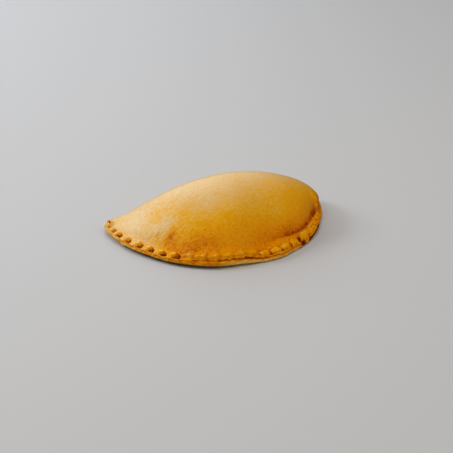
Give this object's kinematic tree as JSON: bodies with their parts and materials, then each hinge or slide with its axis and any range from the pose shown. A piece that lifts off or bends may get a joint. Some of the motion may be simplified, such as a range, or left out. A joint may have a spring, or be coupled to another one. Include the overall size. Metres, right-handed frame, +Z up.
{
  "type": "baked turnover",
  "caption": "Half-moon pastry turnover with a domed filling, a folded straight side and a crimped curved rim, baked golden brown.",
  "frame": {"origin": "middle of the bounding box on the flat underside, where the pastry rests", "axes": "+Z up; X along the folded straight side from tip to tip, with the tapered tip at -X; the crimped curved rim faces -Y"},
  "size_m": [0.1466, 0.077, 0.0353],
  "materials": {
    "crust": "egg-washed baked crust, satin"
  },
  "bodies": {
    "root": {"turnover": "crust"}
  },
  "joints": []
}
